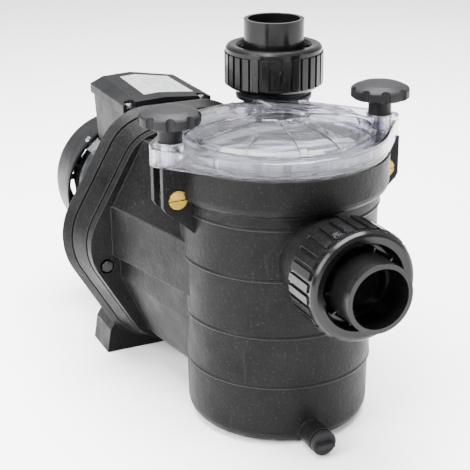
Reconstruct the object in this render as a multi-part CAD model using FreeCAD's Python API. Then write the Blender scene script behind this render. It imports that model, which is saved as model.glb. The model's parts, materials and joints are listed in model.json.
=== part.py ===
import FreeCAD, Part
import math
import os

# Self-priming pool pump with a hair-and-lint strainer pot, drawn in millimetres.
# Origin: centre of the strainer pot's base, on the floor. +X points out of the suction port,
# +Z is up, and the motor lies behind the pot along -X.

V = FreeCAD.Vector
X_AXIS, Y_AXIS, Z_AXIS = V(1, 0, 0), V(0, 1, 0), V(0, 0, 1)

# --- driving dimensions -------------------------------------------------------------------
POT_RADIUS = 88.7            # outer radius of the pot just under its collar
POT_WALL = 4.5
POT_FLOOR = 6.0
POT_RIM_Z = 247.5            # face that the lid sits on
POT_EDGE_ROUND = 14.0        # rounding of the pot's bottom edge
TIER_HEIGHTS = (214.0, 202.0, 156.2, 103.1, 55.5)   # steps in the outside of the pot
TIER_STEP = 1.1
TIER_BEAD = ((0.2, 0.6), (0.7, 1.5), (0.5, 2.8), (0.0, 4.0))   # bead over each step, out and up
COLLAR_RADIUS = 96.2

MOTOR_Y, MOTOR_Z = -34.0, 132.0     # the motor's axis, parallel to X
FLANGE_X = -128.0                   # joint between the body and the seal plate
FLANGE_HALF_WIDTH = 112.0           # centre to the sharp side corner of the flange
FLANGE_HALF_TOP = 49.8              # centre to the sharp top corner, along Y
FLANGE_HALF_HEIGHT = 107.5
FLANGE_SIDE_ROUND, FLANGE_TOP_ROUND = 54.0, 40.0
SEAL_PLATE_REAR_X = -150.0
BRACKET_REAR_X = -162.0
JOINT_GROOVE = 2.6                  # width of the groove round each flange joint
GROOVE_DEPTH = 6.0

SUCTION_Z = 174.5
SUCTION_END_X = 176.0
DISCHARGE_X, DISCHARGE_Y = -132.0, 60.3
DISCHARGE_END_Z = 332.5
PIPE_RADIUS = 25.0                  # socket for a 50 mm pressure pipe
SPIGOT_RADIUS = 29.0
SOCKET_DEPTH = 31.0
NECK_RADIUS = 35.0
THREAD_RADIUS = 35.8
NUT_RADIUS = 47.9
NUT_RIBS = 30

KNOB_Y = 100.5                      # the two lid knobs stand at +/- this Y
KNOB_RADIUS = 26.2
KNOB_LOBES = 9
KNOB_STEM = 14.6                    # height of the stem below the head
LID_TOP_Z = 265.0                   # top of the lid's flat rim
LID_RADIUS = 95.0
LID_WING_Y, LID_WING_RADIUS = 105.0, 13.5
LID_WALL = 3.5
LID_RIB_RISE = 1.6                  # height of the ribs on top of the dome
STUD_RADIUS = 4.7
BARREL_RADIUS = 8.2
BARREL_Z = 219.0

MOTOR_RADIUS = 56.0                 # round the roots of the cooling fins
FIN_HEIGHT = 6.0
MOTOR_FRONT_X, MOTOR_BACK_X = -180.0, -292.0
COWL_RADIUS = 75.5
COWL_FRONT_X, COWL_BACK_X = -280.0, -343.0
SHAFT_RADIUS = 8.0

BOX_X0, BOX_X1 = -276.0, -175.0     # terminal box, back and front
BOX_Y0, BOX_Y1 = -80.0, 12.0
BOX_FOOT_Z, BOX_JOINT_Z = 194.0, 242.3
BOX_CREST_Y = -36.0                 # highest line of the box lid

PARTS = {}


# --- shape helpers ------------------------------------------------------------------------
def tube_z(radius, z0, z1, x=0.0, y=0.0, bore=0.0):
    """Cylinder along Z, hollow where a bore radius is given."""
    solid = Part.makeCylinder(radius, z1 - z0, V(x, y, z0), Z_AXIS)
    if bore:
        solid = solid.cut(Part.makeCylinder(bore, z1 - z0 + 2, V(x, y, z0 - 1), Z_AXIS))
    return solid


def tube_x(radius, x0, x1, y=MOTOR_Y, z=MOTOR_Z, bore=0.0):
    """Cylinder along X from x0 up to x1, hollow where a bore radius is given."""
    solid = Part.makeCylinder(radius, x1 - x0, V(x0, y, z), X_AXIS)
    if bore:
        solid = solid.cut(Part.makeCylinder(bore, x1 - x0 + 2, V(x0 - 1, y, z), X_AXIS))
    return solid


def block(x0, x1, y0, y1, z0, z1):
    return Part.makeBox(x1 - x0, y1 - y0, z1 - z0, V(x0, y0, z0))


def fuse(shapes):
    return shapes[0].fuse(shapes[1:]).removeSplitter()


def turned(profile, centre=V(0, 0, 0)):
    """Solid of revolution about Z from (radius, z) points."""
    points = [V(r, 0, z) for r, z in profile]
    face = Part.Face(Part.makePolygon(points + [points[0]]))
    solid = face.revolve(V(0, 0, 0), Z_AXIS, 360)
    solid.translate(centre)
    return solid


def lay_along_x(shape, x, y, z):
    """Turn a shape made along +Z so that it points along +X, then place it."""
    shape = shape.copy()
    shape.rotate(V(0, 0, 0), Y_AXIS, 90)
    shape.translate(V(x, y, z))
    return shape


def lay_along_minus_x(shape, x, y, z):
    shape = shape.copy()
    shape.rotate(V(0, 0, 0), Y_AXIS, -90)
    shape.translate(V(x, y, z))
    return shape


def around(shape, count, centre, axis, first=0.0):
    """Copies of a shape spread evenly round an axis."""
    copies = []
    for k in range(count):
        copy = shape.copy()
        copy.rotate(centre, axis, first + 360.0 * k / count)
        copies.append(copy)
    return copies


def rounded_outline(corners, radii):
    """Closed wire through corners with an arc at each; every corner gives one line and one arc."""
    edges = []
    arcs = []
    count = len(corners)
    for i, corner in enumerate(corners):
        back = (corners[i - 1] - corner).normalize()
        ahead = (corners[(i + 1) % count] - corner).normalize()
        half = back.getAngle(ahead) / 2
        reach = radii[i] / math.tan(half)
        middle = (back + ahead).normalize()
        to_arc = radii[i] / math.sin(half) - radii[i]
        arcs.append((corner + back * reach, corner + middle * to_arc, corner + ahead * reach))
    for i, (start, middle, end) in enumerate(arcs):
        edges.append(Part.Arc(start, middle, end).toShape())
        edges.append(Part.makeLine(end, arcs[(i + 1) % count][0]))
    return Part.Wire(edges)


def six_sided(x, y, z, half_width, half_top, half_height, side_round, top_round):
    """Rounded hexagon in the plane X = x, with a corner at each side and a flat top and bottom."""
    corners = [
        V(x, y + half_width, z),
        V(x, y + half_top, z + half_height),
        V(x, y - half_top, z + half_height),
        V(x, y - half_width, z),
        V(x, y - half_top, z - half_height),
        V(x, y + half_top, z - half_height),
    ]
    radii = [side_round, top_round, top_round, side_round, top_round, top_round]
    return rounded_outline(corners, radii)


def flange_outline(x, growth):
    """The flange's outline at X = x, grown outwards evenly."""
    slope = math.atan2(FLANGE_HALF_HEIGHT, FLANGE_HALF_WIDTH - FLANGE_HALF_TOP)
    return six_sided(
        x, MOTOR_Y, MOTOR_Z,
        FLANGE_HALF_WIDTH + growth / math.sin(slope),
        FLANGE_HALF_TOP + growth * math.tan(slope / 2),
        FLANGE_HALF_HEIGHT + growth,
        FLANGE_SIDE_ROUND + growth,
        FLANGE_TOP_ROUND + growth,
    )


def loft(wires):
    return Part.makeLoft(wires, True, True)


def hull_plan(radius, wing_radius, wing_y, z0, z1):
    """Round plate with a rounded wing at each side: a circle and two small circles in one outline."""
    lean = math.asin((radius - wing_radius) / wing_y)
    sides = []
    for sign in (1, -1):
        tangent = V(math.cos(lean), sign * math.sin(lean), 0)
        big = tangent * radius
        small = V(0, sign * wing_y, 0) + tangent * wing_radius
        tip = V(0, sign * (wing_y + wing_radius), 0)
        sides.append((big, small, tip))
    (big_r, small_r, tip_r), (big_l, small_l, tip_l) = sides

    def mirror(point):
        return V(-point.x, point.y, point.z)

    front, back = V(radius, 0, 0), V(-radius, 0, 0)
    edges = [
        Part.Arc(big_l, front, big_r).toShape(),
        Part.makeLine(big_r, small_r),
        Part.Arc(small_r, tip_r, mirror(small_r)).toShape(),
        Part.makeLine(mirror(small_r), mirror(big_r)),
        Part.Arc(mirror(big_r), back, mirror(big_l)).toShape(),
        Part.makeLine(mirror(big_l), mirror(small_l)),
        Part.Arc(mirror(small_l), tip_l, small_l).toShape(),
        Part.makeLine(small_l, big_l),
    ]
    solid = Part.Face(Part.Wire(edges)).extrude(V(0, 0, z1 - z0))
    solid.translate(V(0, 0, z0))
    return solid


def hexagon_head(across_flats, height):
    """Hexagonal prism standing on Z = 0."""
    corner = across_flats / math.sqrt(3)
    points = [V(corner * math.cos(math.radians(60 * k)), corner * math.sin(math.radians(60 * k)), 0)
              for k in range(7)]
    return Part.Face(Part.makePolygon(points)).extrude(V(0, 0, height))


def pan_screw(head_radius, head_height, shank_radius, length):
    """Cross-slotted screw, head up, with the underside of its head on Z = 0."""
    head = turned([(0, 0), (head_radius, 0), (head_radius * 0.85, head_height), (0, head_height * 1.1)])
    slot = block(-head_radius * 0.6, head_radius * 0.6, -0.5, 0.5, head_height * 0.5, head_height * 2)
    cross = slot.copy()
    cross.rotate(V(0, 0, 0), Z_AXIS, 90)
    shank = tube_z(shank_radius, -length, 0)
    return fuse([head.cut(slot).cut(cross), shank])


# --- pump body ----------------------------------------------------------------------------
def pot_outside():
    """Stepped outside of the pot: each tier is a little narrower than the one above it."""
    profile = [(0, 0), (POT_RADIUS - 6.3 - POT_EDGE_ROUND, 0)]
    lowest = POT_RADIUS - 6.3
    for k in range(1, 7):
        angle = math.radians(15 * k)
        profile.append((lowest - POT_EDGE_ROUND * (1 - math.sin(angle)),
                        POT_EDGE_ROUND * (1 - math.cos(angle))))
    radius = lowest
    for z in reversed(TIER_HEIGHTS[1:]):
        radius += 0.45
        profile.append((radius, z))
        radius += TIER_STEP
        profile += [(radius + out, z + up) for out, up in TIER_BEAD]
    collar_z = TIER_HEIGHTS[0]
    profile += [(POT_RADIUS, collar_z), (POT_RADIUS + 1.6, collar_z + 0.6)]
    profile += [(COLLAR_RADIUS - 2.6, collar_z + 2.8), (COLLAR_RADIUS - 0.8, collar_z + 5.2)]
    profile.append((COLLAR_RADIUS, collar_z + 8.5))
    profile.append((COLLAR_RADIUS, POT_RIM_Z))
    profile.append((0, POT_RIM_Z))
    return turned(profile)


def ear_plates():
    """Two pairs of plates on the pot, each pair holding a barrel nut with a gap for the stud."""
    plates = []
    for side in (1, -1):
        inner, outer = side * (POT_RADIUS - 8), side * 113.5
        points = [V(0, inner, 184), V(0, side * 87, 187.5), V(0, side * 111.5, 209.0),
                  V(0, outer, 213.0), V(0, outer, POT_RIM_Z), V(0, inner, POT_RIM_Z)]
        face = Part.Face(Part.makePolygon(points + [points[0]]))
        hole = tube_x(BARREL_RADIUS + 0.05, -15, 15, side * KNOB_Y, BARREL_Z)
        for x0 in (-14.0, 8.0):
            plates.append(face.extrude(V(6.0, 0, 0)).translated(V(x0, 0, 0)).cut(hole))
    return plates


FLANGE_LIP = 7.0             # thickness of the body's own flange plate


def prism_between(near, far, x_near, x_far):
    """Straight-sided solid between two outlines of (y, z) points with the same number of corners."""
    wires = []
    for x, outline in ((x_near, near), (x_far, far)):
        points = [V(x, y, z) for y, z in outline]
        wires.append(Part.makePolygon(points + [points[0]]))
    return loft(wires)


def chest():
    """Volute casing: a flange plate, an upper hood, a flat-sided band and a set-back lower half."""
    lip_x = FLANGE_X + FLANGE_LIP
    plate = loft([flange_outline(FLANGE_X, 0), flange_outline(lip_x, -1.2)])
    near_x, far_x = lip_x - 2, 12.0
    hood = prism_between(
        [(-114, 171), (-80, 232), (12, 232), (46, 171), (46, 130), (-114, 130)],
        [(-81.5, 171), (-50, 221), (64, 221), (84, 171), (84, 130), (-81.5, 130)], near_x, far_x)
    band = prism_between(
        [(-115.5, 123), (-115.5, 172), (47.5, 172), (47.5, 123)],
        [(-82.5, 123), (-82.5, 172), (84, 172), (84, 123)], near_x, far_x)
    lower = prism_between(
        [(-108.5, 125), (-108, 100), (-82, 40), (-74, 30), (6, 30), (14, 40), (40, 100), (40.5, 125)],
        [(-81, 125), (-80, 95), (-73, 50), (-67, 44), (66, 44), (72, 50), (82, 95), (83, 125)],
        near_x, far_x)
    return fuse([plate, hood, band, lower])


def discharge_riser():
    """Upright neck of the discharge port; it stands clear above the flange joint."""
    riser = tube_z(NECK_RADIUS, 142, DISCHARGE_END_Z - 42, DISCHARGE_X, DISCHARGE_Y)
    behind = block(FLANGE_X - 60, FLANGE_X + 0.4, DISCHARGE_Y - 60, DISCHARGE_Y + 60, 100, 256)
    bead = tube_z(NECK_RADIUS + 2.0, DISCHARGE_END_Z - 75.5, DISCHARGE_END_Z - 72,
                  DISCHARGE_X, DISCHARGE_Y)
    thread = tube_z(THREAD_RADIUS, DISCHARGE_END_Z - 68, DISCHARGE_END_Z - 42,
                    DISCHARGE_X, DISCHARGE_Y)
    return fuse([riser.cut(behind), bead, thread])


def suction_boss():
    """Short boss, neck and thread of the suction port."""
    boss = lay_along_x(turned([(0, 0), (38.6, 0), (38.6, 36.5), (37.2, 38.5), (0, 38.5)]),
                       66, 0, SUCTION_Z)
    neck = tube_x(NECK_RADIUS, 90, SUCTION_END_X - 42, 0, SUCTION_Z)
    thread = tube_x(THREAD_RADIUS, SUCTION_END_X - 68, SUCTION_END_X - 42, 0, SUCTION_Z)
    return fuse([boss, neck, thread])


DRAIN_Y, DRAIN_Z, DRAIN_FACE_X = -7.0, 12.0, 100.0


def drain_boss():
    return tube_x(11.6, 60, DRAIN_FACE_X, DRAIN_Y, DRAIN_Z)


def hollows():
    """Everything that is cut out of the mouldings of the wet end."""
    cuts = [
        tube_z(POT_RADIUS - 6.3 - POT_WALL, POT_FLOOR, BASKET_RIM_Z + 1),  # pot, below the ledge
        tube_z(82.6, BASKET_RIM_Z, POT_RIM_Z + 1),                         # mouth of the pot
        tube_z(88.6, 244.3, POT_RIM_Z + 1, bore=83.4),                     # groove for the lid's seal
        tube_x(PIPE_RADIUS - 1.5, 60, SUCTION_END_X, 0, SUCTION_Z),        # suction port
        tube_x(68.0, FLANGE_X - 1, -99.0),                                 # diffuser chamber
        tube_x(24.0, -99.5, -60.0),                                        # eye passage
        tube_z(12.0, 150, 264, -112.0, DISCHARGE_Y),                       # riser passage
        tube_z(PIPE_RADIUS - 1.5, 262, DISCHARGE_END_Z, DISCHARGE_X, DISCHARGE_Y),
        block(-122, -100, 20, DISCHARGE_Y, 150, 172),                      # throat, chamber to riser
        tube_x(5.2, 60, DRAIN_FACE_X + 1, DRAIN_Y, DRAIN_Z),               # drain hole
        body_seal_groove(),
    ]
    for bolt in flange_bolt_places():
        cuts.append(tube_x(3.1, FLANGE_X - 1, FLANGE_X + 8.6, bolt.y, bolt.z))
        if abs(bolt.z - MOTOR_Z) < 30:
            cuts.append(tube_x(7.6, FLANGE_X + 3.0, FLANGE_X + 28, bolt.y, bolt.z))
    for side in (-1, 1):                                               # at barrel nuts and studs
        cuts.append(tube_x(BARREL_RADIUS + 0.6, -15.6, 15.6, side * KNOB_Y, BARREL_Z))
        near, far = sorted((side * 95.0, side * 112.0))
        cuts.append(block(-6.5, 6.5, near, far, 200, POT_RIM_Z + 1))
    return cuts


def build_body():
    """The body moulding, kept as its pot, its ears, its volute casing and its two necks."""
    pot = fuse([pot_outside(), drain_boss()])
    casing = chest()
    mouldings = {
        "strainer_pot": pot,
        "volute_casing": casing.cut(pot),
        "discharge_neck": discharge_riser().cut(pot).cut(casing),
        "suction_neck": suction_boss().cut(pot),
    }
    cuts = hollows()
    for name, solid in mouldings.items():
        for tool in cuts:
            solid = solid.cut(tool)
        PARTS[name] = solid.removeSplitter()
    PARTS["lid_ears"] = Part.makeCompound([plate.cut(pot) for plate in ear_plates()])


# --- unions, alike on both ports ----------------------------------------------------------
def union_tail():
    """Tail piece along Z with its open end on Z = 0: a pipe socket, a cone with ribs, a flange."""
    shape = turned([
        (PIPE_RADIUS, 0), (SPIGOT_RADIUS, 0), (SPIGOT_RADIUS, -30), (31.0, -35.5), (34.6, -35.5),
        (34.6, -42.0), (PIPE_RADIUS - 1.6, -42.0), (PIPE_RADIUS - 1.6, -SOCKET_DEPTH),
        (PIPE_RADIUS, -SOCKET_DEPTH)])
    rib = block(SPIGOT_RADIUS - 1, 33.0, -0.7, 0.7, -35.6, -27.5)
    return fuse([shape] + around(rib, 10, V(0, 0, 0), Z_AXIS, 18))


def union_nut():
    """Ribbed union nut along Z, in the same frame as the tail piece."""
    body = turned([
        (36.8, -24.6), (42.4, -24.0), (45.0, -24.9), (46.6, -27.2), (46.6, -31.0), (46.2, -31.6),
        (46.2, -61.6), (44.6, -64.0), (40.0, -66.8), (36.3, -66.8), (36.3, -35.1), (33.6, -35.1),
        (33.6, -32.0), (35.2, -27.5)])
    rib = block(44.5, NUT_RADIUS, -3.3, 3.3, -61.5, -31.3)
    return fuse([body] + around(rib, NUT_RIBS, V(0, 0, 0), Z_AXIS))


def union_seal():
    return Part.makeTorus(29.5, 1.6, V(0, 0, -43.6), Z_AXIS)


def build_unions():
    groove = tube_z(31.4, -45.3, -41.9, bore=27.6)
    for name, place in (("suction", lambda s: lay_along_x(s, SUCTION_END_X, 0, SUCTION_Z)),
                        ("discharge", lambda s: s.translated(V(DISCHARGE_X, DISCHARGE_Y,
                                                               DISCHARGE_END_Z)))):
        PARTS[name + "_union_tail"] = place(union_tail())
        PARTS[name + "_union_nut"] = place(union_nut())
        PARTS[name + "_union_seal"] = place(union_seal())
        PARTS[name + "_neck"] = PARTS[name + "_neck"].cut(place(groove))


# --- lid and knobs ------------------------------------------------------------------------
DOME_PROFILE = ((84.0, 264.9), (80.0, 268.0), (70.0, 271.4), (52.0, 274.6), (30.0, 276.7),
                (12.0, 277.4), (0.0, 277.5))


def lid_ribs():
    """Ribs on top of the dome: four pairs that spread outwards, a thin one between each two pairs."""
    raised = [(r, z + LID_RIB_RISE) for r, z in DOME_PROFILE]
    raised_band = turned([(0, 262), (84.0, 262)] + raised).cut(
        turned([(0, 261), (84.0, 261)] + [(r, z - 0.6) for r, z in DOME_PROFILE]))
    broad = []
    for side in (1, -1):
        rib = block(-2, 62, -3.4, 3.4, 260, 285)
        rib.rotate(V(0, 0, 0), Z_AXIS, side * 9)
        broad.append(rib.translated(V(22, side * 8.0, 0)))
    thin = block(58, 84, -0.8, 0.8, 260, 285)
    thin.rotate(V(0, 0, 0), Z_AXIS, 45)
    ribs = []
    for tool in broad + [thin]:
        ribs += [copy.common(raised_band) for copy in around(tool, 4, V(0, 0, 0), Z_AXIS)]
    hub = turned([(0, 270), (24.0, 270), (24.0, 277.6), (22.5, 278.7), (0, 278.9)])
    return ribs + [hub, tube_z(26.0, 266.0, 274.5, bore=23.4)]


def lid():
    """Clear lid: a domed plate with a deep rim, a wing at each side and a plug for the seal."""
    dome_top = [(0, 262)] + [(84.0, 262)] + list(DOME_PROFILE)
    dome_under = [(0, 255), (80.5, 255), (80.5, 262.3)]
    dome_under += [(max(r - 2.5, 0), z - 3.6) for r, z in DOME_PROFILE[1:]]
    outer = fuse([hull_plan(LID_RADIUS, LID_WING_RADIUS, LID_WING_Y, POT_RIM_Z, LID_TOP_Z),
                  turned(dome_top)])
    inside = hull_plan(LID_RADIUS - LID_WALL, LID_WING_RADIUS - LID_WALL, LID_WING_Y,
                       POT_RIM_Z - 1, LID_TOP_Z - LID_WALL)
    shell = outer.cut(inside).cut(turned(dome_under))
    pieces = [shell]
    pieces.append(tube_z(82.0, 236.0, 264.5, bore=78.6))                # plug inside the pot's mouth
    pieces.append(tube_z(91.5, 249.2, 252.5, bore=79.0))                # land that presses the seal
    for side in (1, -1):
        pieces.append(tube_z(11.0, POT_RIM_Z, 264, 0, side * KNOB_Y))   # boss under each knob
    pieces += lid_ribs()
    web = block(90.3, LID_RADIUS - 1, -1.2, 1.2, POT_RIM_Z + 0.6, 263)
    for angle in range(-60, 61, 30):
        for turn in (0, 180):
            copy = web.copy()
            copy.rotate(V(0, 0, 0), Z_AXIS, angle + turn)
            pieces.append(copy)
    solid = fuse(pieces)
    for side in (1, -1):
        solid = solid.cut(tube_z(STUD_RADIUS + 0.6, 240, 280, 0, side * KNOB_Y))
    return solid


def knob():
    """Hand knob with a domed, scalloped head and a round stem, standing on Z = 0 at the origin."""
    crown = turned([(0, KNOB_STEM), (KNOB_RADIUS - 1.8, KNOB_STEM), (KNOB_RADIUS, KNOB_STEM + 1.4),
                    (KNOB_RADIUS, 22.8), (KNOB_RADIUS - 1.4, 24.4), (18.0, 27.4), (8.0, 29.3),
                    (0, 29.7)])
    for k in range(KNOB_LOBES):
        angle = 2 * math.pi * (k + 0.5) / KNOB_LOBES
        reach = KNOB_RADIUS + 1.3
        crown = crown.cut(tube_z(4.3, 0, 40, reach * math.cos(angle), reach * math.sin(angle)))
    stem = tube_z(10.3, 0, KNOB_STEM + 1.0)
    return fuse([crown, stem]).cut(tube_z(STUD_RADIUS + 0.05, -1, 26.0))


def knob_stud():
    return fuse([tube_z(STUD_RADIUS, -52.0, 25.9), tube_z(STUD_RADIUS - 0.6, -54.0, -51.0)])


def build_lid_group():
    PARTS["strainer_lid"] = lid()
    PARTS["lid_seal"] = tube_z(88.2, 244.3, 249.2, bore=83.8)
    washer = tube_z(12.0, 0, 1.6, bore=STUD_RADIUS + 0.5)
    washers, barrels = [], []
    for name, side in (("left", -1), ("right", 1)):
        at = V(0, side * KNOB_Y, LID_TOP_Z)
        washers.append(washer.translated(at))
        raised = at + V(0, 0, 1.6)
        PARTS["lid_knob_" + name] = knob().translated(raised)
        PARTS["knob_stud_" + name] = knob_stud().translated(raised)
        nut = tube_x(BARREL_RADIUS, -15.2, 15.2, side * KNOB_Y, BARREL_Z)
        nut = nut.cut(tube_z(STUD_RADIUS + 0.35, BARREL_Z - 20, BARREL_Z + 20, 0, side * KNOB_Y))
        for x0, x1 in ((-16, -14.2), (14.2, 16)):
            nut = nut.cut(block(x0, x1, side * KNOB_Y - 9, side * KNOB_Y + 9, BARREL_Z - 0.8,
                                BARREL_Z + 0.8))
        barrels.append(nut)
    PARTS["knob_washers"] = Part.makeCompound(washers)
    PARTS["barrel_nuts"] = Part.makeCompound(barrels)


# --- strainer basket ----------------------------------------------------------------------
BASKET_RIM_Z = 225.0
BASKET_TOP_RADIUS, BASKET_LOW_RADIUS, BASKET_LOW_Z = 74.0, 66.0, 40.0


def basket():
    """Tapered basket with slotted walls and floor, a rim, an inlet window and a moulded handle."""
    wall = 2.2
    shell = turned([
        (0, BASKET_LOW_Z), (BASKET_LOW_RADIUS, BASKET_LOW_Z), (BASKET_TOP_RADIUS, BASKET_RIM_Z),
        (81.6, BASKET_RIM_Z), (81.6, BASKET_RIM_Z + 3.0), (BASKET_TOP_RADIUS - wall, BASKET_RIM_Z + 3.0),
        (BASKET_LOW_RADIUS - wall, BASKET_LOW_Z + wall), (0, BASKET_LOW_Z + wall)])
    slots = []
    for row in range(3):
        low = BASKET_LOW_Z + 14 + row * 56
        slot = block(50, 90, -4.2, 4.2, low, low + 46)
        slots += around(slot, 16, V(0, 0, 0), Z_AXIS, 11.25)
    for k in range(-3, 4):
        reach = math.sqrt(56.0 ** 2 - (k * 15.0) ** 2)
        slots.append(block(-reach, reach, k * 15 - 3.4, k * 15 + 3.4, BASKET_LOW_Z - 1,
                           BASKET_LOW_Z + 5))
    slots.append(tube_x(29.0, 40, 90, 0, SUCTION_Z))
    shell = shell.cut(Part.makeCompound(slots))
    frame = tube_x(33.0, 60, 80, 0, SUCTION_Z, bore=29.0)
    band = turned([
        (BASKET_LOW_RADIUS - wall, BASKET_LOW_Z), (BASKET_LOW_RADIUS, BASKET_LOW_Z),
        (BASKET_TOP_RADIUS, BASKET_RIM_Z), (BASKET_TOP_RADIUS - wall, BASKET_RIM_Z)])
    posts = []
    for side in (1, -1):
        posts.append(block(-7, 7, side * 71.5 - 2, side * 71.5 + 2, BASKET_RIM_Z - 12, 244))
    bar = block(-7, 7, -73.5, 73.5, 241, 245)
    return fuse([shell, frame.common(band), bar] + posts)


# --- wet end ------------------------------------------------------------------------------
def flange_bolt_places():
    """One bolt near each of the flange's six corners."""
    places = []
    for sy in (1, -1):
        places.append(V(0, MOTOR_Y + sy * 87.0, MOTOR_Z - 19.5))
        for sz in (1, -1):
            places.append(V(0, MOTOR_Y + sy * 46.0, MOTOR_Z + sz * 91.0))
    return places


def body_seal_groove():
    return tube_x(81.0, FLANGE_X - 0.1, FLANGE_X + 3.0, bore=77.0)


def layered_plate(front_x, back_x, front_growth, back_growth):
    """Flange plate that widens backwards, with a shallow groove at each joint face."""
    rim = loft([flange_outline(front_x - JOINT_GROOVE, front_growth),
                flange_outline(back_x, back_growth)])
    core = loft([flange_outline(front_x, front_growth - GROOVE_DEPTH),
                 flange_outline(front_x - JOINT_GROOVE - 1, front_growth - GROOVE_DEPTH)])
    return fuse([rim, core])


def seal_plate():
    solid = layered_plate(FLANGE_X, SEAL_PLATE_REAR_X, 0.8, 7.2)
    solid = solid.cut(tube_x(15.0, -133.0, -127.0))
    solid = solid.cut(tube_x(SHAFT_RADIUS + 1.5, -151.0, -127.0))
    solid = solid.cut(tube_x(70.0, -151.0, -140.0, bore=24.0))
    for bolt in flange_bolt_places():
        solid = solid.cut(tube_x(4.3, -151.0, -127.0, bolt.y, bolt.z))
    return solid


def motor_bracket():
    """Rear flange plate with four round pads that the motor is bolted to."""
    solid = layered_plate(SEAL_PLATE_REAR_X, BRACKET_REAR_X, 8.4, 14.0)
    pads = [tube_x(9.0, -168.0, -156.0, p.y, p.z) for p in motor_bolt_places()]
    collar = tube_x(45.0, -165.0, -156.0)
    solid = fuse([solid, collar] + pads)
    solid = solid.cut(tube_x(40.0, -166.0, -149.0))
    solid = solid.cut(tube_x(66.0, -155.0, -149.0))
    for bolt in flange_bolt_places():
        solid = solid.cut(tube_x(4.3, -163.0, -149.0, bolt.y, bolt.z))
    for place in motor_bolt_places():
        solid = solid.cut(tube_x(3.3, -169.0, -154.0, place.y, place.z))
    return solid


def motor_bolt_places():
    places = []
    for angle in (45, 135, 225, 315):
        places.append(V(0, MOTOR_Y + 50.0 * math.cos(math.radians(angle)),
                        MOTOR_Z + 50.0 * math.sin(math.radians(angle))))
    return places


def hex_bolt(across_flats, head, shank_radius, length):
    """Bolt with its washer, head on the +Z side and the washer's face on Z = 0."""
    washer = tube_z(across_flats * 0.62, 0, 1.5)
    top = hexagon_head(across_flats, head).translated(V(0, 0, 1.5))
    return fuse([washer, top, tube_z(shank_radius, -length, 0)])


def build_wet_end():
    PARTS["seal_plate"] = seal_plate()
    PARTS["motor_bracket"] = motor_bracket()
    PARTS["body_seal"] = lay_along_x(Part.makeTorus(79.0, 1.45, V(0, 0, 0), Z_AXIS),
                                     FLANGE_X + 1.5, MOTOR_Y, MOTOR_Z)
    bolt = hex_bolt(10.0, 4.0, 3.0, 42.4)
    nut = hexagon_head(10.0, 5.0).cut(tube_z(3.05, -1, 6))
    PARTS["flange_nuts"] = Part.makeCompound(
        [lay_along_x(nut, FLANGE_X + 3.0, p.y, p.z) for p in flange_bolt_places()
         if p.z > MOTOR_Z - 30 and p.z < MOTOR_Z])
    PARTS["flange_bolts"] = Part.makeCompound(
        [lay_along_minus_x(bolt, BRACKET_REAR_X, p.y, p.z) for p in flange_bolt_places()])
    PARTS["diffuser"] = diffuser()
    PARTS["impeller"] = impeller()
    nut = hexagon_head(16.0, 5.0).cut(tube_z(5.45, -1, 6))
    PARTS["impeller_nut"] = lay_along_x(nut, -105.9, MOTOR_Y, MOTOR_Z)
    PARTS["seal_seat"] = tube_x(14.9, -132.9, -127.0, bore=SHAFT_RADIUS + 1.2)
    PARTS["seal_head"] = tube_x(13.0, -126.7, -123.6, bore=SHAFT_RADIUS + 0.02)
    PARTS["seal_spring"] = seal_spring()
    plug = lay_along_x(turned([(0, -12), (4.9, -12), (4.9, 0), (11.3, 0), (11.3, 4.2), (10.4, 5.2), (0, 5.2)]),
                       DRAIN_FACE_X + 1.5, DRAIN_Y, DRAIN_Z)
    tab = block(DRAIN_FACE_X + 6.0, DRAIN_FACE_X + 11.5, DRAIN_Y - 7.4, DRAIN_Y + 7.4,
                DRAIN_Z - 1.9, DRAIN_Z + 1.9)
    PARTS["drain_plug"] = fuse([plug, tab])
    PARTS["drain_plug_seal"] = tube_x(9.4, DRAIN_FACE_X, DRAIN_FACE_X + 1.5, DRAIN_Y, DRAIN_Z, bore=5.4)


def diffuser():
    """Guide ring round the impeller, with an inlet throat at its front."""
    plate = tube_x(67.6, -102.0, -99.0, bore=22.0)
    throat = tube_x(25.5, -104.5, -99.0, bore=22.0)
    vane = block(-126.0, -101.0, 55.5, 65.5, -1.4, 1.4)
    vanes = []
    for k in range(9):
        copy = vane.copy()
        copy.rotate(V(0, 60.5, 0), X_AXIS, 55)
        copy.rotate(V(0, 0, 0), X_AXIS, 40 * k)
        copy.translate(V(0, MOTOR_Y, MOTOR_Z))
        vanes.append(copy)
    return fuse([plate, throat] + vanes)


def impeller():
    """Closed impeller: back plate, hub, seven swept vanes and a front shroud."""
    back = tube_x(52.0, -119.0, -116.5)
    hub = tube_x(15.0, -120.5, -106.0)
    shroud = tube_x(52.0, -109.0, -106.8, bore=20.0)
    vanes = []
    for k in range(7):
        copy = block(-117.0, -108.0, 17.0, 50.0, -1.3, 1.3)
        copy.rotate(V(0, 17, 0), X_AXIS, 32)
        copy.rotate(V(0, 0, 0), X_AXIS, 360.0 * k / 7)
        copy.translate(V(0, MOTOR_Y, MOTOR_Z))
        vanes.append(copy.common(tube_x(51.6, -118.0, -107.0)))
    return fuse([back, hub, shroud] + vanes).cut(tube_x(5.5, -121.0, -100.0))


def seal_spring():
    helix = Part.makeHelix(1.0, 1.9, 10.8)
    section = Part.Wire(Part.makeCircle(0.42, V(10.8, 0, 0), Y_AXIS))
    spring = Part.Wire(helix).makePipeShell([section], True, True)
    return lay_along_x(spring, -123.1, MOTOR_Y, MOTOR_Z)


# --- motor --------------------------------------------------------------------------------
LUG_ANGLES = (50, 130, 230, 310)     # lugs of the rear end shield, measured from +Y
LUG_SPLIT_X = -277.0                 # joint between the shield's lugs and the housing's
COWL_SCREW_X = -285.0


def radial_block(x0, x1, low, high, half_width, angle):
    """Block that points outwards from the motor's axis at an angle from +Y."""
    shape = block(x0, x1, low, high, -half_width, half_width)
    shape.rotate(V(0, 0, 0), X_AXIS, angle)
    return shape.translated(V(0, MOTOR_Y, MOTOR_Z))


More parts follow.
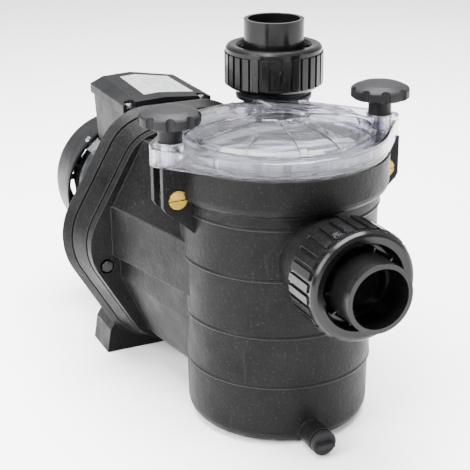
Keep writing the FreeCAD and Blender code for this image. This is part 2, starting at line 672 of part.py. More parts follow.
def radial_pin(radius, low, high, x, angle):
    shape = Part.makeCylinder(radius, high - low, V(x, low, 0), Y_AXIS)
    shape.rotate(V(0, 0, 0), X_AXIS, angle)
    return shape.translated(V(0, MOTOR_Y, MOTOR_Z))


def motor_housing():
    shell = tube_x(MOTOR_RADIUS, MOTOR_BACK_X, MOTOR_FRONT_X, bore=52.0)
    fins = [radial_block(LUG_SPLIT_X + 0.5, MOTOR_FRONT_X - 6, MOTOR_RADIUS - 1,
                         MOTOR_RADIUS + FIN_HEIGHT, 1.1, 5 + 10 * k) for k in range(36)]
    fins += [radial_block(LUG_SPLIT_X, -266.0, MOTOR_RADIUS - 1, 70.5, 7.0, angle)
             for angle in LUG_ANGLES]
    pads = [block(BOX_X0 + 8, BOX_X1 - 8, MOTOR_Y - 30, MOTOR_Y + 30, MOTOR_Z + 46, MOTOR_Z + 62),
            block(-206, MOTOR_FRONT_X, MOTOR_Y - 34, MOTOR_Y + 34, FOOT_TOP_Z, MOTOR_Z - 45)]
    solid = fuse([shell] + fins + pads).cut(tube_x(52.0, MOTOR_BACK_X - 1, MOTOR_FRONT_X + 1))
    for side in (1, -1):
        solid = solid.cut(tube_z(2.5, FOOT_TOP_Z - 1, 75, -193.0, MOTOR_Y + side * 20))
    window = block(-235, -205, MOTOR_Y - 9, MOTOR_Y + 9, MOTOR_Z + 40, MOTOR_Z + 63)
    holes = [tube_x(2.6, LUG_SPLIT_X - 1, -265.0, p.y, p.z) for p in shield_screw_places()]
    return solid.cut(Part.makeCompound([window] + holes))


def end_shield(front):
    """Cast end shield: a disc with a bearing pocket, four bolt ears and stiffening ribs."""
    face_x = MOTOR_FRONT_X if front else MOTOR_BACK_X
    out = 1 if front else -1
    x0, x1 = sorted((face_x, face_x + out * 12.0))
    disc = tube_x(60.0, x0, x1)
    spigot_x = sorted((face_x - out * 4.0, face_x))
    spigot = tube_x(51.9, spigot_x[0], spigot_x[1], bore=46.0)
    pocket_wall = sorted((face_x - out * 14.0, face_x + out * 1.0))
    hub = tube_x(23.0, pocket_wall[0], pocket_wall[1])
    solid = fuse([disc, spigot, hub])
    recess = sorted((face_x + out * 5.0, face_x + out * 13.0))
    solid = solid.cut(tube_x(42.0, recess[0], recess[1], bore=24.0))
    for angle in range(0, 360, 45):
        rib = Part.makeBox(7.0, 22.0, 3.0, V(min(recess), 22.0, -1.5))
        rib.rotate(V(0, 0, 0), X_AXIS, angle)
        rib.translate(V(0, MOTOR_Y, MOTOR_Z))
        solid = solid.fuse(rib)
    pocket = sorted((face_x - out * 15.0, face_x - out * 2.0))
    solid = solid.cut(tube_x(17.5, pocket[0], pocket[1]))
    solid = solid.cut(tube_x(SHAFT_RADIUS + 1.0, x0 - 20, x1 + 20))
    for place in motor_bolt_places():
        solid = solid.cut(tube_x(3.3, x0 - 20, x1 + 20, place.y, place.z))
    if not front:
        solid = add_cowl_lugs(solid)
    return solid.removeSplitter()


def add_cowl_lugs(shield):
    """Four lugs outside the housing that carry the fan cowl and bolt to the housing's lugs."""
    lugs = [radial_block(MOTOR_BACK_X - 6, LUG_SPLIT_X, 54.0, 71.0, 8.0, angle)
            for angle in LUG_ANGLES]
    room = tube_x(MOTOR_RADIUS, MOTOR_BACK_X, LUG_SPLIT_X + 1)
    solid = fuse([shield.cut(room)] + [lug.cut(room) for lug in lugs] + [shield.common(room)])
    for angle in LUG_ANGLES:
        solid = solid.cut(radial_pin(1.75, 66.0, 80.0, COWL_SCREW_X, angle))
    for place in shield_screw_places():
        solid = solid.cut(tube_x(2.45, -282.0, LUG_SPLIT_X + 1, place.y, place.z))
    return solid


def bearing(x0):
    """Deep-groove ball bearing: two rings, nine balls and two shields, all separate solids."""
    x1 = x0 + 11.0
    outer = tube_x(17.45, x0, x1, bore=14.6)
    inner = tube_x(11.0, x0, x1, bore=SHAFT_RADIUS + 0.02)
    balls = []
    for k in range(9):
        angle = 2 * math.pi * k / 9
        balls.append(Part.makeSphere(1.7, V((x0 + x1) / 2, MOTOR_Y + 12.8 * math.cos(angle),
                                            MOTOR_Z + 12.8 * math.sin(angle))))
    return Part.makeCompound([outer, inner] + balls)


def motor_shaft():
    return fuse([
        tube_x(SHAFT_RADIUS, -326.0, -120.6),
        tube_x(5.4, -120.7, -100.4),
        tube_x(10.5, -278.0, -194.2),
    ])


def rotor_core():
    core = tube_x(30.0, -262.0, -204.0, bore=10.52)
    rings = [tube_x(29.0, -268.0, -262.0, bore=16.0), tube_x(29.0, -204.0, -198.0, bore=16.0)]
    blade = block(-272.0, -267.9, 20.0, 28.0, -1.0, 1.0)
    blades = around(blade, 8, V(0, 0, 0), X_AXIS)
    for copy in blades:
        copy.translate(V(0, MOTOR_Y, MOTOR_Z))
    return fuse([core] + rings + blades)


def stator_core():
    core = tube_x(51.9, -263.0, -203.0, bore=30.5)
    slot = block(-264.0, -202.0, 32.0, 44.0, -2.2, 2.2)
    for copy in around(slot, 24, V(0, 0, 0), X_AXIS):
        copy.translate(V(0, MOTOR_Y, MOTOR_Z))
        core = core.cut(copy)
    return core


def stator_windings():
    """Copper in each stator slot, joined by a rounded bundle at each end."""
    pieces = []
    for x0, x1 in ((-277.0, -263.0), (-203.0, -189.0)):
        pieces.append(lay_along_x(turned([(33, 2), (36, 0), (42, 0), (45, 3), (45, 11), (42, 14),
                                          (36, 14), (33, 12)]), x0, MOTOR_Y, MOTOR_Z))
    bar = block(-263.5, -202.5, 32.4, 43.6, -1.9, 1.9)
    for copy in around(bar, 24, V(0, 0, 0), X_AXIS):
        copy.translate(V(0, MOTOR_Y, MOTOR_Z))
        pieces.append(copy)
    return fuse(pieces)


def cooling_fan():
    hub = tube_x(15.0, -324.0, -309.0, bore=SHAFT_RADIUS + 0.02)
    disc = tube_x(58.0, -311.0, -309.0, bore=14.0)
    vanes = []
    for k in range(9):
        vane = block(-323.0, -310.0, 14.0, 59.0, -1.1, 1.1)
        vane.rotate(V(0, 0, 0), X_AXIS, 40 * k)
        vane.translate(V(0, MOTOR_Y, MOTOR_Z))
        vanes.append(vane)
    return fuse([hub, disc] + vanes)


def fan_cover():
    """Drum-shaped cowl over the fan, rounded at its back, with a grille of slots."""
    length = COWL_FRONT_X - COWL_BACK_X
    outer = turned([(0, 0), (62.6, 0), (67.1, 1.2), (69.9, 4.2), (71.3, 10.0),
                    (COWL_RADIUS, length - 4), (COWL_RADIUS, length), (0, length)])
    inner = turned([(0, 2.4), (62.2, 2.4), (65.6, 3.4), (67.6, 5.8), (68.9, 10.5),
                    (COWL_RADIUS - 2.4, length - 4), (COWL_RADIUS - 2.4, length + 1), (0, length + 1)])
    shell = outer.cut(inner)
    slots = []
    for radius in (20.0, 30.0, 40.0, 50.0):
        slots.append(tube_z(radius + 5.5, -1, 3.4, bore=radius))
    spokes = [block(-3, 3, -70, 70, -2, 4), block(-70, 70, -3, 3, -2, 4)]
    for angle in (45, 135):
        spoke = block(-70, 70, -3, 3, -2, 4)
        spoke.rotate(V(0, 0, 0), Z_AXIS, angle)
        spokes.append(spoke)
    for slot in slots:
        shell = shell.cut(slot.cut(Part.makeCompound(spokes)))
    solid = lay_along_x(shell.removeSplitter(), COWL_BACK_X, MOTOR_Y, MOTOR_Z)
    for angle in LUG_ANGLES:
        for radius, low in ((1.75, 60.0), (3.9, 74.6)):
            solid = solid.cut(radial_pin(radius, low, 80.0, COWL_SCREW_X, angle))
    return solid


def cowl_screws():
    """Screws through the cowl's rim into the lugs of the rear end shield."""
    screws = []
    for angle in LUG_ANGLES:
        screw = pan_screw(3.6, 2.2, 1.7, 8.0).translated(V(0, 0, 74.6))
        screw.rotate(V(0, 0, 0), X_AXIS, angle - 90)
        screws.append(screw.translated(V(COWL_SCREW_X, MOTOR_Y, MOTOR_Z)))
    return Part.makeCompound(screws)


def shield_screw_places():
    return [V(0, MOTOR_Y + 65.5 * math.cos(math.radians(angle)),
              MOTOR_Z + 65.5 * math.sin(math.radians(angle))) for angle in LUG_ANGLES]


FOOT_X0, FOOT_X1 = -206.5, -163.5
FOOT_Y0, FOOT_Y1 = -111.0, 45.0
FOOT_TOP_Z = 66.0
FOOT_HOLE_Y = 62.0


def motor_foot():
    """Moulded foot under the motor: a sole plate, two slanted cheeks and a saddle."""
    centre = MOTOR_Y
    points = [V(0, FOOT_Y0, 0), V(0, FOOT_Y1, 0), V(0, FOOT_Y1 - 4, 24), V(0, centre + 46, FOOT_TOP_Z),
              V(0, centre - 46, FOOT_TOP_Z), V(0, FOOT_Y0 + 4, 24)]
    face = Part.Face(Part.makePolygon(points + [points[0]]))
    solid = face.extrude(V(FOOT_X1 - FOOT_X0, 0, 0))
    solid.translate(V(FOOT_X0, 0, 0))
    solid = solid.cut(block(FOOT_X0 - 1, FOOT_X1 - 5, centre - 32, centre + 32, -1, 52))
    for side in (1, -1):
        for x in (-197.0, -173.0):
            solid = solid.cut(tube_z(4.5, -1, 12, x, centre + side * FOOT_HOLE_Y))
    for side in (1, -1):
        solid = solid.cut(tube_z(3.3, 50, 68, -193.0, centre + side * 20))
        solid = solid.cut(tube_x(11.0, -173.0, FOOT_X1 + 1, centre + side * 46, MOTOR_Z - 91))
    return solid.removeSplitter()


# --- terminal box -------------------------------------------------------------------------
# The box lid's top at its back and front edges, as (y, z) points
LID_TOP_BACK = ((BOX_Y0, 252.3), (-66.0, 258.6), (BOX_CREST_Y, 259.9), (3.0, 253.4), (BOX_Y1, 252.0))
LID_TOP_FRONT = ((BOX_Y0, 252.3), (-66.0, 254.8), (BOX_CREST_Y, 256.2), (3.0, 253.1), (BOX_Y1, 252.0))


def rectangle(inset, z):
    """Outline of the terminal box at one height, drawn in by an inset."""
    x0, x1 = BOX_X0 + inset, BOX_X1 - inset
    y0, y1 = BOX_Y0 + inset, BOX_Y1 - inset
    return Part.makePolygon([V(x0, y0, z), V(x1, y0, z), V(x1, y1, z), V(x0, y1, z), V(x0, y0, z)])


def box_base():
    """Open box standing on the motor's pad, with a cable entry in its far side."""
    outer = loft([rectangle(5.0, BOX_FOOT_Z), rectangle(2.5, BOX_JOINT_Z)])
    cheeks = []
    for y0, y1 in ((BOX_Y0 + 5, BOX_Y0 + 11), (BOX_Y1 - 11, BOX_Y1 - 5)):
        cheeks.append(block(BOX_X0 + 16.5, BOX_X1 - 6, y0, y1, 170, BOX_FOOT_Z + 1))
    solid = fuse([outer] + cheeks)
    solid = solid.cut(block(BOX_X0 + 11, BOX_X1 - 12, BOX_Y0 + 12, BOX_Y1 - 12, 197, BOX_JOINT_Z + 1))
    posts = [tube_z(4.4, 197, BOX_JOINT_Z, x, y) for x, y in box_screw_places()]
    solid = fuse([solid] + posts)
    solid = solid.cut(tube_x(MOTOR_RADIUS + FIN_HEIGHT + 0.5, BOX_X0, BOX_X1))
    solid = solid.cut(Part.makeCylinder(8.2, 20, V(-212.0, BOX_Y1 - 16, 222.0), Y_AXIS))
    solid = solid.cut(block(-234, -206, MOTOR_Y - 8, MOTOR_Y + 8, 185, 200))
    for x, y in box_screw_places():
        solid = solid.cut(tube_z(1.75, 225, BOX_JOINT_Z + 1, x, y))
    return solid


def box_screw_places():
    return [(BOX_X1 - 7.5, y) for y in (BOX_Y0 + 8, BOX_Y1 - 8)]


def box_lid():
    """Lid with a skirt, a top that rises to a crest and towards the back, and two screw notches."""
    sections = []
    for x, top in ((BOX_X0, LID_TOP_BACK), (BOX_X1, LID_TOP_FRONT)):
        points = [V(x, BOX_Y0, BOX_JOINT_Z + 1)] + [V(x, y, z) for y, z in top]
        points.append(V(x, BOX_Y1, BOX_JOINT_Z + 1))
        sections.append(Part.makePolygon(points + [points[0]]))
    outer = loft(sections)
    outer = outer.cut(block(BOX_X0 + 4, BOX_X1 - 4, BOX_Y0 + 4, BOX_Y1 - 4, BOX_JOINT_Z, 249.6))
    corners = [tube_z(6.2, BOX_JOINT_Z + 1, 251, x, y) for x, y in box_screw_places()]
    solid = fuse([outer] + corners)
    for x, y in box_screw_places():
        notch = fuse([tube_z(4.6, 249.0, 275, x, y), block(x, BOX_X1 + 1, y - 4.6, y + 4.6, 249.0, 275)])
        solid = solid.cut(notch).cut(tube_z(2.3, 240, 275, x, y))
    return solid


def label_plate():
    """Blank rating plate that lies on the box lid and bends over its crest."""
    sections = []
    for x in (-262.0, -192.0):
        part = (x - BOX_X0) / (BOX_X1 - BOX_X0)
        top = [(back[0], back[1] + part * (front[1] - back[1]))
               for back, front in zip(LID_TOP_BACK, LID_TOP_FRONT)]

        def height(y):
            for (y0, z0), (y1, z1) in zip(top, top[1:]):
                if y0 <= y <= y1:
                    return z0 + (z1 - z0) * (y - y0) / (y1 - y0)

        places = (-52.0, BOX_CREST_Y, 0.0)
        lower = [V(x, y, height(y) + 0.02) for y in places]
        upper = [V(x, y, height(y) + 0.62) for y in reversed(places)]
        sections.append(Part.makePolygon(lower + upper + [lower[0]]))
    return loft(sections)


def build_motor():
    PARTS["motor_housing"] = motor_housing()
    PARTS["front_end_shield"] = end_shield(True)
    PARTS["rear_end_shield"] = end_shield(False)
    PARTS["front_bearing"] = bearing(-193.4)
    PARTS["rear_bearing"] = bearing(-289.6)
    PARTS["motor_shaft"] = motor_shaft()
    PARTS["rotor_core"] = rotor_core()
    PARTS["stator_core"] = stator_core()
    PARTS["stator_windings"] = stator_windings()
    PARTS["cooling_fan"] = cooling_fan()
    PARTS["fan_cover"] = fan_cover()
    PARTS["cowl_screws"] = cowl_screws()
    PARTS["motor_foot"] = motor_foot()
    PARTS["water_slinger"] = lay_along_x(turned([(8.02, 0), (19.0, 0), (21.0, 1.6), (19.0, 3.2), (8.02, 3.2)]),
                                         -158.0, MOTOR_Y, MOTOR_Z)
    bolt = hex_bolt(10.0, 3.2, 2.5, 20.5)
    PARTS["bracket_bolts"] = Part.makeCompound(
        [lay_along_x(bolt, -155.0, p.y, p.z) for p in motor_bolt_places()])
    shield_screw = hex_bolt(8.0, 3.2, 2.4, 15.0)
    PARTS["shield_screws"] = Part.makeCompound(
        [lay_along_x(shield_screw, -266.0, p.y, p.z) for p in shield_screw_places()])
    foot_bolt = hex_bolt(8.0, 3.2, 2.4, 22.0)
    foot_bolt.rotate(V(0, 0, 0), X_AXIS, 180)
    PARTS["foot_screws"] = Part.makeCompound(
        [foot_bolt.translated(V(-193.0, MOTOR_Y + side * 20, 52.0)) for side in (1, -1)])


def build_terminal_box():
    PARTS["terminal_box"] = box_base()
    PARTS["terminal_box_lid"] = box_lid()
    gasket = block(BOX_X0 + 3, BOX_X1 - 3, BOX_Y0 + 3, BOX_Y1 - 3, BOX_JOINT_Z, BOX_JOINT_Z + 1)
    gasket = gasket.cut(block(BOX_X0 + 12, BOX_X1 - 13, BOX_Y0 + 13, BOX_Y1 - 13, 240, 246))
    for x, y in box_screw_places():
        gasket = gasket.cut(tube_z(2.2, 240, 246, x, y))
    PARTS["terminal_box_gasket"] = gasket
    screw = pan_screw(4.0, 2.4, 1.7, 20.0)
    PARTS["terminal_lid_screws"] = Part.makeCompound(
        [screw.translated(V(x, y, 249.0)) for x, y in box_screw_places()])
    PARTS["rating_plate"] = label_plate()
    strip = block(-204, -192, -60, -12, 197, 207)
    studs = [tube_z(2.0, 206, 213, -198, -56 + 8 * k) for k in range(6)]
    PARTS["terminal_block"] = fuse([strip] + studs)
    PARTS["run_capacitor"] = Part.makeCylinder(14.0, 56.0, V(-242.0, -62.0, 211.0), Y_AXIS)
    gland_body = [
        Part.makeCylinder(8.0, 13.0, V(-212.0, BOX_Y1 - 13.0, 222.0), Y_AXIS),
        hexagon_along_y(20.0, 4.9, -212.0, BOX_Y1 - 2.8, 222.0),
        Part.makeCylinder(7.6, 9.0, V(-212.0, BOX_Y1 + 1.5, 222.0), Y_AXIS),
    ]
    bore = Part.makeCylinder(4.6, 60.0, V(-212.0, BOX_Y1 - 30.0, 222.0), Y_AXIS)
    PARTS["cable_gland"] = fuse(gland_body).cut(bore)
    cap = fuse([hexagon_along_y(18.0, 8.0, -212.0, BOX_Y1 + 2.2, 222.0),
                Part.makeCone(8.8, 6.6, 6.0, V(-212.0, BOX_Y1 + 10.2, 222.0), Y_AXIS)])
    cap = cap.cut(Part.makeCylinder(7.7, 8.6, V(-212.0, BOX_Y1 + 2.1, 222.0), Y_AXIS)).cut(bore)
    PARTS["gland_nut"] = cap


def hexagon_along_y(across_flats, height, x, y, z):
    prism = hexagon_head(across_flats, height)
    prism.rotate(V(0, 0, 0), X_AXIS, -90)
    prism.translate(V(x, y, z))
    return prism


# --- build and write ----------------------------------------------------------------------
def main():
    build_body()
    build_unions()
    build_lid_group()
    PARTS["strainer_basket"] = basket()
    build_wet_end()
    build_motor()
    build_terminal_box()
    os.makedirs("parts", exist_ok=True)
    for name, shape in PARTS.items():
        if not shape.isValid():
            print("not valid:", name)
        shape.exportStep("parts/" + name + ".step")
    print(len(PARTS), "nodes written")


main()
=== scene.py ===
import bpy
import bmesh
import json
from mathutils import Matrix, Vector


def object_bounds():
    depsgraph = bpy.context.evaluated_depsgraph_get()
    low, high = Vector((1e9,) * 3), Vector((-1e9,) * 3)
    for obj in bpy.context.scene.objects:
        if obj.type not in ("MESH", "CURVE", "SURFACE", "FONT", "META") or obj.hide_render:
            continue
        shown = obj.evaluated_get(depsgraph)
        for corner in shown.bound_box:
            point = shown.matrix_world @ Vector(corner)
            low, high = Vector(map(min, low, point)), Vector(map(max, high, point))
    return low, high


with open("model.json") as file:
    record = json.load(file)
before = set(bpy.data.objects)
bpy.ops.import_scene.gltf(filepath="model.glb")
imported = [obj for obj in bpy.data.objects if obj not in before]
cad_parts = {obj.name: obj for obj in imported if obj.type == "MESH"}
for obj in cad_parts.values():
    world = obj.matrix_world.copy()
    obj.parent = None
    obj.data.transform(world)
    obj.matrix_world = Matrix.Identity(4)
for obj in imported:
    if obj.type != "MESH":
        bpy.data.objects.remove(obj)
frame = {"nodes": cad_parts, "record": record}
cad_low, cad_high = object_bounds()
NODES = frame["nodes"]
RECORD = frame["record"]

# Rounding of sharp edges, and how far the painted edge highlight and painted edge shade reach, in
# metres.
PLASTIC_EDGE = 0.0007
METAL_EDGE = 0.0005
LID_EDGE = 0.0006
PAINTED_EDGE_REACH = 0.0009
# Painted highlight colour for sharp moulded edges, lighter than the plastic itself.
PAINTED_EDGE_HIGHLIGHT = (0.055, 0.055, 0.057)
# Painted shade for the clear lid's sharp edges: a darker violet tint.
LID_PAINTED_EDGE_SHADE = (0.30, 0.28, 0.44)

# The label's rows of strokes, in the row's frame, in metres.
LABEL_ROWS = 9
LABEL_FIRST_X = -0.2550
LABEL_PITCH = 0.0068
LABEL_STROKE = 0.0022
LABEL_Y = (-0.050, -0.007)
LABEL_INK = (0.06, 0.06, 0.065)

# The camera at the photograph's viewing angle: place, forward and up, in the row's frame.
CAMERA_PLACE = (0.89296, -0.44802, 0.55016)
CAMERA_FORWARD = (-0.84981, 0.38632, -0.35858)
CAMERA_UP = (-0.32365, 0.1545, 0.93348)
CAMERA_LENS_MM = 91.95
CAMERA_SENSOR_MM = 36.0

# Studio lights: place, size in metres, power in watts. All of them point at LIT_POINT.
LIT_POINT = (-0.05, 0.0, 0.15)
LIGHTS = {
    "softbox_left": ((0.3, -1.6, 1.2), (0.9, 1.2), 85.0),
    "softbox_right": ((1.0, 1.4, 1.0), (0.4, 1.2), 16.0),
    "overhead": ((-0.1, 0.0, 1.9), (1.7, 1.6), 275.0),
}
WORLD_STRENGTH = 1.05
FLOOR_HALF_SIZE = 6.0
FLOOR_GAP = 0.0005


# --- materials ----------------------------------------------------------------------------
def new_material(name):
    """An empty node material with its shader, its output and object coordinates in metres."""
    mat = bpy.data.materials.new(name)
    mat.use_nodes = True
    tree = mat.node_tree
    tree.nodes.clear()
    out = tree.nodes.new("ShaderNodeOutputMaterial")
    shader = tree.nodes.new("ShaderNodeBsdfPrincipled")
    tree.links.new(shader.outputs["BSDF"], out.inputs["Surface"])
    coords = tree.nodes.new("ShaderNodeTexCoord").outputs["Object"]
    return mat, tree, shader, coords


def noise(tree, coords, scale, detail=3.0, stretch=(1, 1, 1), roughness=0.5):
    """A noise texture's value; stretch below 1 draws it out along that axis."""
    mapping = tree.nodes.new("ShaderNodeMapping")
    mapping.inputs["Scale"].default_value = stretch
    tree.links.new(coords, mapping.inputs["Vector"])
    tex = tree.nodes.new("ShaderNodeTexNoise")
    tex.inputs["Scale"].default_value = scale
    tex.inputs["Detail"].default_value = detail
    tex.inputs["Roughness"].default_value = roughness
    tree.links.new(mapping.outputs["Vector"], tex.inputs["Vector"])
    return tex.outputs["Fac"]


def spread(tree, value, low, high, start=0.3, end=0.7):
    """Maps a texture's value from start..end on to low..high."""
    node = tree.nodes.new("ShaderNodeMapRange")
    tree.links.new(value, node.inputs["Value"])
    node.inputs["From Min"].default_value = start
    node.inputs["From Max"].default_value = end
    node.inputs["To Min"].default_value = low
    node.inputs["To Max"].default_value = high
    return node.outputs["Result"]


def mix_colour(tree, factor, first, second):
    """Mixes two colours, each a tuple or another node's output."""
    node = tree.nodes.new("ShaderNodeMix")
    node.data_type = "RGBA"
    tree.links.new(factor, node.inputs["Factor"])
    for socket, value in ((node.inputs["A"], first), (node.inputs["B"], second)):
        if isinstance(value, (tuple, list)):
            socket.default_value = (*value, 1.0)
        else:
            tree.links.new(value, socket)
    return node.outputs["Result"]


def rounded_edges(tree, radius):
    """A normal that rounds off sharp edges, as a moulding or casting has them."""
    node = tree.nodes.new("ShaderNodeBevel")
    node.samples = 4
    node.inputs["Radius"].default_value = radius
    return node.outputs["Normal"]


def painted_edge_mask(tree, radius, strength):
    """Rises towards strength along sharp edges: the mask for painted edge highlights and painted
    edge shade.
    """
    dot = tree.nodes.new("ShaderNodeVectorMath")
    dot.operation = "DOT_PRODUCT"
    tree.links.new(rounded_edges(tree, radius), dot.inputs[0])
    tree.links.new(tree.nodes.new("ShaderNodeNewGeometry").outputs["Normal"], dot.inputs[1])
    return spread(tree, dot.outputs["Value"], strength, 0.0, 0.88, 0.995)


def bump(tree, shader, height, strength, distance, under=None):
    """Feeds the shader a bumped normal, laid over the normal under it."""
    node = tree.nodes.new("ShaderNodeBump")
    node.inputs["Strength"].default_value = strength
    node.inputs["Distance"].default_value = distance
    tree.links.new(height, node.inputs["Height"])
    if under:
        tree.links.new(under, node.inputs["Normal"])
    tree.links.new(node.outputs["Normal"], shader.inputs["Normal"])
    return node.outputs["Normal"]


def moulded_plastic(name, dark, light, rough, grain, grain_depth,
                    fleck=0.0, coat=0.0, specular=0.5):
    """Moulded plastic: a fine eroded grain, cloudy patches, pale flecks, rubs and a painted
    highlight along sharp edges.
    """
    mat, tree, shader, coords = new_material(name)
    clouds = noise(tree, coords, 22.0, 4.0)
    colour = mix_colour(tree, spread(tree, clouds, 0.0, 1.0), dark, light)
    if fleck:
        specks = noise(tree, coords, 520.0, 2.0)
        pale = tuple(min(1.0, c * 3.5 + 0.03) for c in light)
        colour = mix_colour(tree, spread(tree, specks, 0.0, fleck, 0.58, 0.78), colour, pale)
        rubs = noise(tree, coords, 160.0, 2.0, (1.0, 1.0, 0.10))
        colour = mix_colour(tree, spread(tree, rubs, 0.0, fleck * 0.6, 0.68, 0.80), colour, pale)
        # Painted highlight: a lighter colour along sharp edges, standing in for the light they
        # catch.
        colour = mix_colour(tree, painted_edge_mask(tree, PAINTED_EDGE_REACH, 0.7), colour, PAINTED_EDGE_HIGHLIGHT)
    tree.links.new(colour, shader.inputs["Base Color"])
    sheen = noise(tree, coords, 60.0, 3.0)
    tree.links.new(spread(tree, sheen, rough[0], rough[1]), shader.inputs["Roughness"])
    fine = noise(tree, coords, grain, 2.0)
    first = bump(tree, shader, fine, 0.6, grain_depth, rounded_edges(tree, PLASTIC_EDGE))
    pits = noise(tree, coords, 260.0, 3.0)
    second = bump(tree, shader, pits, 0.5, grain_depth * 2.2, first)
    waves = noise(tree, coords, 35.0, 2.0)
    bump(tree, shader, waves, 0.3, 0.0014, second)
    shader.inputs["Coat Weight"].default_value = coat
    shader.inputs["Coat Roughness"].default_value = 0.08
    shader.inputs["Specular IOR Level"].default_value = specular
    return mat


def metal(name, dark, light, rough, grain, grain_depth, stretch=(1, 1, 1)):
    """Metal with patches of colour and roughness over brushed, cast or turned marks."""
    mat, tree, shader, coords = new_material(name)
    patches = noise(tree, coords, 120.0, 4.0)
    tree.links.new(mix_colour(tree, spread(tree, patches, 0.0, 1.0), dark, light),
                   shader.inputs["Base Color"])
    tree.links.new(spread(tree, noise(tree, coords, 300.0, 3.0, stretch), rough[0], rough[1]),
                   shader.inputs["Roughness"])
    shader.inputs["Metallic"].default_value = 1.0
    bump(tree, shader, noise(tree, coords, grain, 3.0, stretch), 0.5, grain_depth,
         rounded_edges(tree, METAL_EDGE))
    return mat


def clear_plastic(name):
    """Clear moulded plastic with a faint violet cast and slight ripples from the mould."""
    mat, tree, shader, coords = new_material(name)
    clouds = noise(tree, coords, 30.0, 3.0)
    colour = mix_colour(tree, spread(tree, clouds, 0.0, 1.0),
                        (0.80, 0.80, 0.93), (0.92, 0.92, 0.98))
    # Painted shade: a darker violet tint along the lid's sharp edges, where the clear plastic
    # bends light.
    colour = mix_colour(tree, painted_edge_mask(tree, PAINTED_EDGE_REACH, 0.75), colour, LID_PAINTED_EDGE_SHADE)
    tree.links.new(colour, shader.inputs["Base Color"])
    sheen = spread(tree, noise(tree, coords, 90.0, 2.0), 0.01, 0.03)
    tree.links.new(sheen, shader.inputs["Roughness"])
    shader.inputs["Transmission Weight"].default_value = 1.0
    shader.inputs["IOR"].default_value = 1.42
    facing = tree.nodes.new("ShaderNodeLayerWeight")
    facing.inputs["Blend"].default_value = 0.3
    clear = spread(tree, facing.outputs["Facing"], 0.70, 1.0, 0.0, 0.6)
    tree.links.new(clear, shader.inputs["Alpha"])
    ripples = noise(tree, coords, 24.0, 2.0)
    bump(tree, shader, ripples, 0.2, 0.0010, rounded_edges(tree, LID_EDGE))
    return mat


def node_maths(tree, operation, first, second):
    """A Math node's output; second is another output or a plain number."""
    node = tree.nodes.new("ShaderNodeMath")
    node.operation = operation
    tree.links.new(first, node.inputs[0])
    if isinstance(second, float):
        node.inputs[1].default_value = second
    else:
        tree.links.new(second, node.inputs[1])
    return node.outputs[0]


def between(tree, value, low, high):
    """1 where the value is between low and high, else 0."""
    above = node_maths(tree, "GREATER_THAN", value, low)
    below = node_maths(tree, "LESS_THAN", value, high)
    return node_maths(tree, "MULTIPLY", above, below)


def label_print(name):
    """A rating plate without words: pale film with rows of faint broken strokes."""
    mat, tree, shader, coords = new_material(name)
    split = tree.nodes.new("ShaderNodeSeparateXYZ")
    tree.links.new(coords, split.inputs["Vector"])
    grain = noise(tree, coords, 400.0, 2.0)
    colour = mix_colour(tree, spread(tree, grain, 0.0, 1.0),
                        (0.20, 0.205, 0.205), (0.27, 0.275, 0.275))
    breaks = noise(tree, coords, 260.0, 2.0, (0.25, 1.0, 0.1))
    strokes = spread(tree, breaks, 0.0, 0.75, 0.45, 0.55)
    for row in range(LABEL_ROWS):
        low = LABEL_FIRST_X + LABEL_PITCH * row
        across = between(tree, split.outputs["X"], low, low + LABEL_STROKE)
        along = between(tree, split.outputs["Y"], *LABEL_Y)
        line = node_maths(tree, "MULTIPLY", across, along)
        line = node_maths(tree, "MULTIPLY", line, strokes)
        colour = mix_colour(tree, line, colour, LABEL_INK)
    tree.links.new(colour, shader.inputs["Base Color"])
    sheen = spread(tree, noise(tree, coords, 80.0), 0.25, 0.4)
    tree.links.new(sheen, shader.inputs["Roughness"])
    bump(tree, shader, grain, 0.2, 0.0001)
    return mat


# Each row: darker and lighter colour, roughness range, grain scale, grain depth in metres.
PLASTICS = {
    "body_plastic": ((0.0022, 0.0022, 0.0024), (0.0062, 0.0061, 0.0064), (0.32, 0.48), 900.0,
                     0.00030, {"fleck": 0.30, "specular": 0.075}),
    "union_plastic": ((0.0018, 0.0018, 0.0018), (0.0036, 0.0036, 0.0036), (0.18, 0.28), 500.0,
                      0.00004, {"coat": 0.06, "specular": 0.2}),
    "knob_plastic": ((0.0065, 0.0065, 0.0072), (0.0115, 0.0115, 0.0125), (0.40, 0.52), 1300.0,
                     0.0002, {"specular": 0.14}),
    "basket_plastic": ((0.34, 0.345, 0.37), (0.44, 0.445, 0.47), (0.35, 0.5), 600.0,
                       0.0001, {"specular": 0.3}),
    "inner_plastic": ((0.012, 0.012, 0.013), (0.018, 0.018, 0.020), (0.4, 0.5), 900.0,
                      0.0001, {"specular": 0.2}),
    "motor_paint": ((0.0035, 0.0036, 0.0039), (0.0066, 0.0067, 0.0072), (0.36, 0.48), 900.0,
                    0.0001, {"specular": 0.085}),
    "carbon": ((0.01, 0.01, 0.01), (0.018, 0.018, 0.018), (0.35, 0.45), 1500.0,
               0.0001, {"specular": 0.2}),
    "terminal_resin": ((0.38, 0.36, 0.30), (0.46, 0.44, 0.38), (0.4, 0.55), 700.0, 0.0001, {}),
    "rubber": ((0.005, 0.005, 0.005), (0.009, 0.009, 0.009), (0.6, 0.8), 900.0,
               0.0002, {"specular": 0.1}),
    "ceramic": ((0.45, 0.43, 0.40), (0.52, 0.50, 0.46), (0.2, 0.3), 900.0, 0.00003, {}),
}

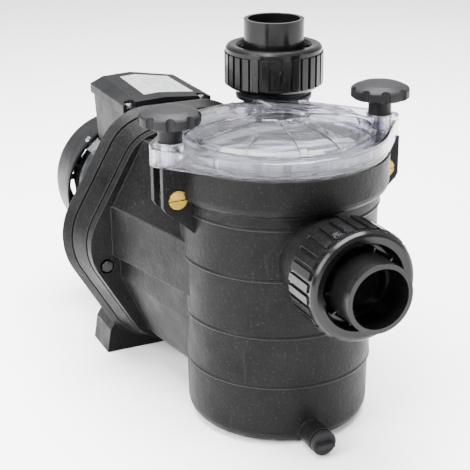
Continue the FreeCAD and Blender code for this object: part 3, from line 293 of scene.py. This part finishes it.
# The same, and how the marks are drawn out along an axis.
METALS = {
    "cast_aluminium": ((0.20, 0.21, 0.22), (0.36, 0.37, 0.38), (0.35, 0.60), 900.0, 0.0004),
    "steel": ((0.30, 0.30, 0.31), (0.48, 0.48, 0.49), (0.22, 0.40), 900.0, 0.0001),
    "black_steel": ((0.02, 0.02, 0.02), (0.05, 0.05, 0.05), (0.35, 0.5), 900.0, 0.0001),
    "brass": ((0.20, 0.125, 0.022), (0.34, 0.22, 0.045), (0.22, 0.36), 700.0, 0.0001),
    "silicon_steel": ((0.18, 0.19, 0.20), (0.28, 0.29, 0.30), (0.35, 0.5), 1400.0, 0.0003,
                      (1.0, 0.1, 0.1)),
    "copper": ((0.30, 0.12, 0.05), (0.44, 0.20, 0.09), (0.25, 0.4), 1200.0, 0.0004),
}

materials = {name: moulded_plastic(name, *row[:-1], **row[-1]) for name, row in PLASTICS.items()}
materials.update({name: metal(name, *row) for name, row in METALS.items()})
materials["clear_plastic"] = clear_plastic("clear_plastic")
materials["label_paper"] = label_print("label_paper")

for part in RECORD["subparts"]:
    node = NODES[part["node"]]
    # The flange bolts are made black steel, like their nuts: painted shade standing in for the
    # shadow of the pocket they sit in.
    slot = "black_steel" if part["node"] == "flange_bolts" else part["material_slot"]
    node.data.materials.clear()
    node.data.materials.append(materials[slot])


# --- floor, light and camera --------------------------------------------------------------
def make_floor():
    mesh = bpy.data.meshes.new("floor")
    work = bmesh.new()
    bmesh.ops.create_grid(work, x_segments=8, y_segments=8, size=FLOOR_HALF_SIZE)
    work.to_mesh(mesh)
    work.free()
    floor = bpy.data.objects.new("floor", mesh)
    floor.location = (0, 0, cad_low.z - FLOOR_GAP)
    bpy.context.scene.collection.objects.link(floor)
    mat, tree, shader, coords = new_material("floor_paint")
    tone = spread(tree, noise(tree, coords, 3.0), 0.0, 1.0)
    tree.links.new(mix_colour(tree, tone, (0.90, 0.90, 0.90), (0.93, 0.93, 0.93)),
                   shader.inputs["Base Color"])
    shader.inputs["Roughness"].default_value = 0.9
    mesh.materials.append(mat)


def area_light(name, place, size, power):
    data = bpy.data.lights.new(name, "AREA")
    data.shape = "RECTANGLE"
    data.size, data.size_y = size
    data.energy = power
    light = bpy.data.objects.new(name, data)
    light.location = place
    light.rotation_mode = "QUATERNION"
    light.rotation_quaternion = (Vector(LIT_POINT) - Vector(place)).to_track_quat("-Z", "Y")
    bpy.context.scene.collection.objects.link(light)


def make_light():
    world = bpy.data.worlds.new("studio")
    world.use_nodes = True
    background = world.node_tree.nodes["Background"]
    background.inputs["Color"].default_value = (1, 1, 1, 1)
    background.inputs["Strength"].default_value = WORLD_STRENGTH
    bpy.context.scene.world = world
    for name, (place, size, power) in LIGHTS.items():
        area_light(name, place, size, power)


def make_camera():
    forward = Vector(CAMERA_FORWARD).normalized()
    right = forward.cross(Vector(CAMERA_UP)).normalized()
    up = right.cross(forward)
    data = bpy.data.cameras.new("camera")
    data.sensor_width = CAMERA_SENSOR_MM
    data.lens = CAMERA_LENS_MM
    camera = bpy.data.objects.new("camera", data)
    turn = Matrix((right, up, -forward)).transposed().to_4x4()
    camera.matrix_world = Matrix.Translation(CAMERA_PLACE) @ turn
    bpy.context.scene.collection.objects.link(camera)
    bpy.context.scene.camera = camera


make_floor()
make_light()
make_camera()
